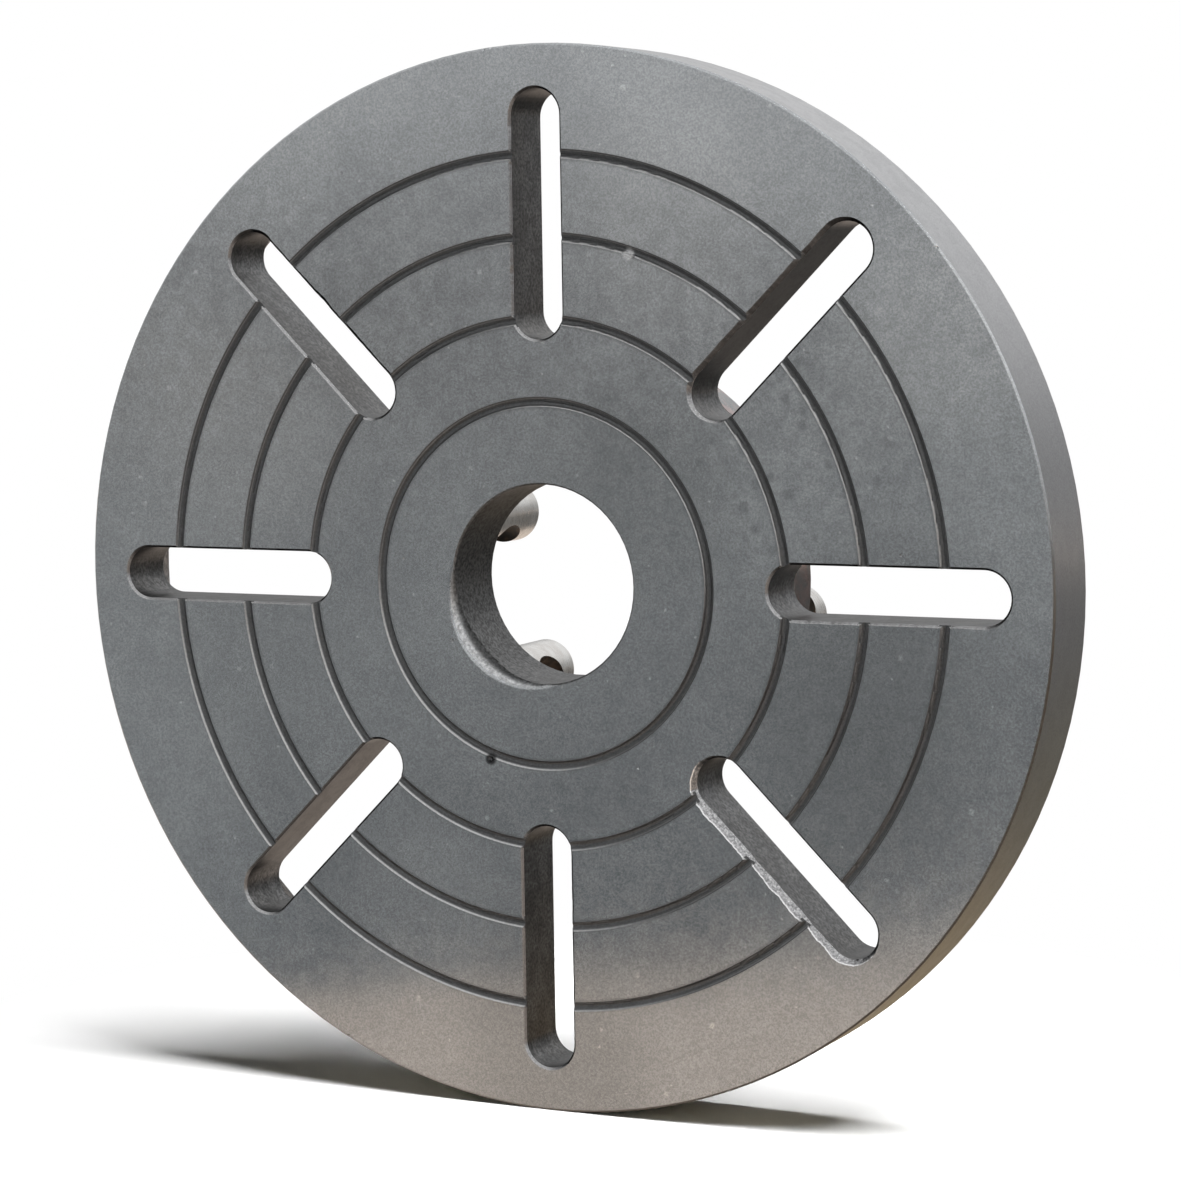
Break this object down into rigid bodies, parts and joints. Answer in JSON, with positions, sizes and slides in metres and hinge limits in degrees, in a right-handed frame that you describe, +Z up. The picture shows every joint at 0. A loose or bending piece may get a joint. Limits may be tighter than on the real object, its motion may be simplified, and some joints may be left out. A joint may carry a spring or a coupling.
{
  "type": "lathe faceplate",
  "caption": "Slotted cast iron faceplate for holding work on a lathe spindle, with radial through slots, turned setting rings, a plain bore and cam-lock studs on the rear hub.",
  "frame": {"origin": "on the spindle axis, in the plane of the hub's rear face, which seats on the spindle nose", "axes": "+Y along the spindle axis from the work face towards the headstock; the work face looks along -Y; +Z up as the plate hangs on a lathe, with one pair of slots level and one pair upright"},
  "size_m": [0.32, 0.08, 0.32],
  "materials": {
    "casting": "fine-turned and ground satin grey on the work face, rim, hub face and bore; as cast on the back",
    "stud_steel": "turned and ground, bright satin",
    "screw_steel": "black oxide"
  },
  "bodies": {
    "root": {"faceplate_body": "casting", "cam_stud_1": "stud_steel", "cam_stud_2": "stud_steel", "cam_stud_3": "stud_steel", "cam_stud_4": "stud_steel", "cam_stud_5": "stud_steel", "cam_stud_6": "stud_steel", "stud_lock_screw_1": "screw_steel", "stud_lock_screw_2": "screw_steel", "stud_lock_screw_3": "screw_steel", "stud_lock_screw_4": "screw_steel", "stud_lock_screw_5": "screw_steel", "stud_lock_screw_6": "screw_steel"}
  },
  "joints": []
}
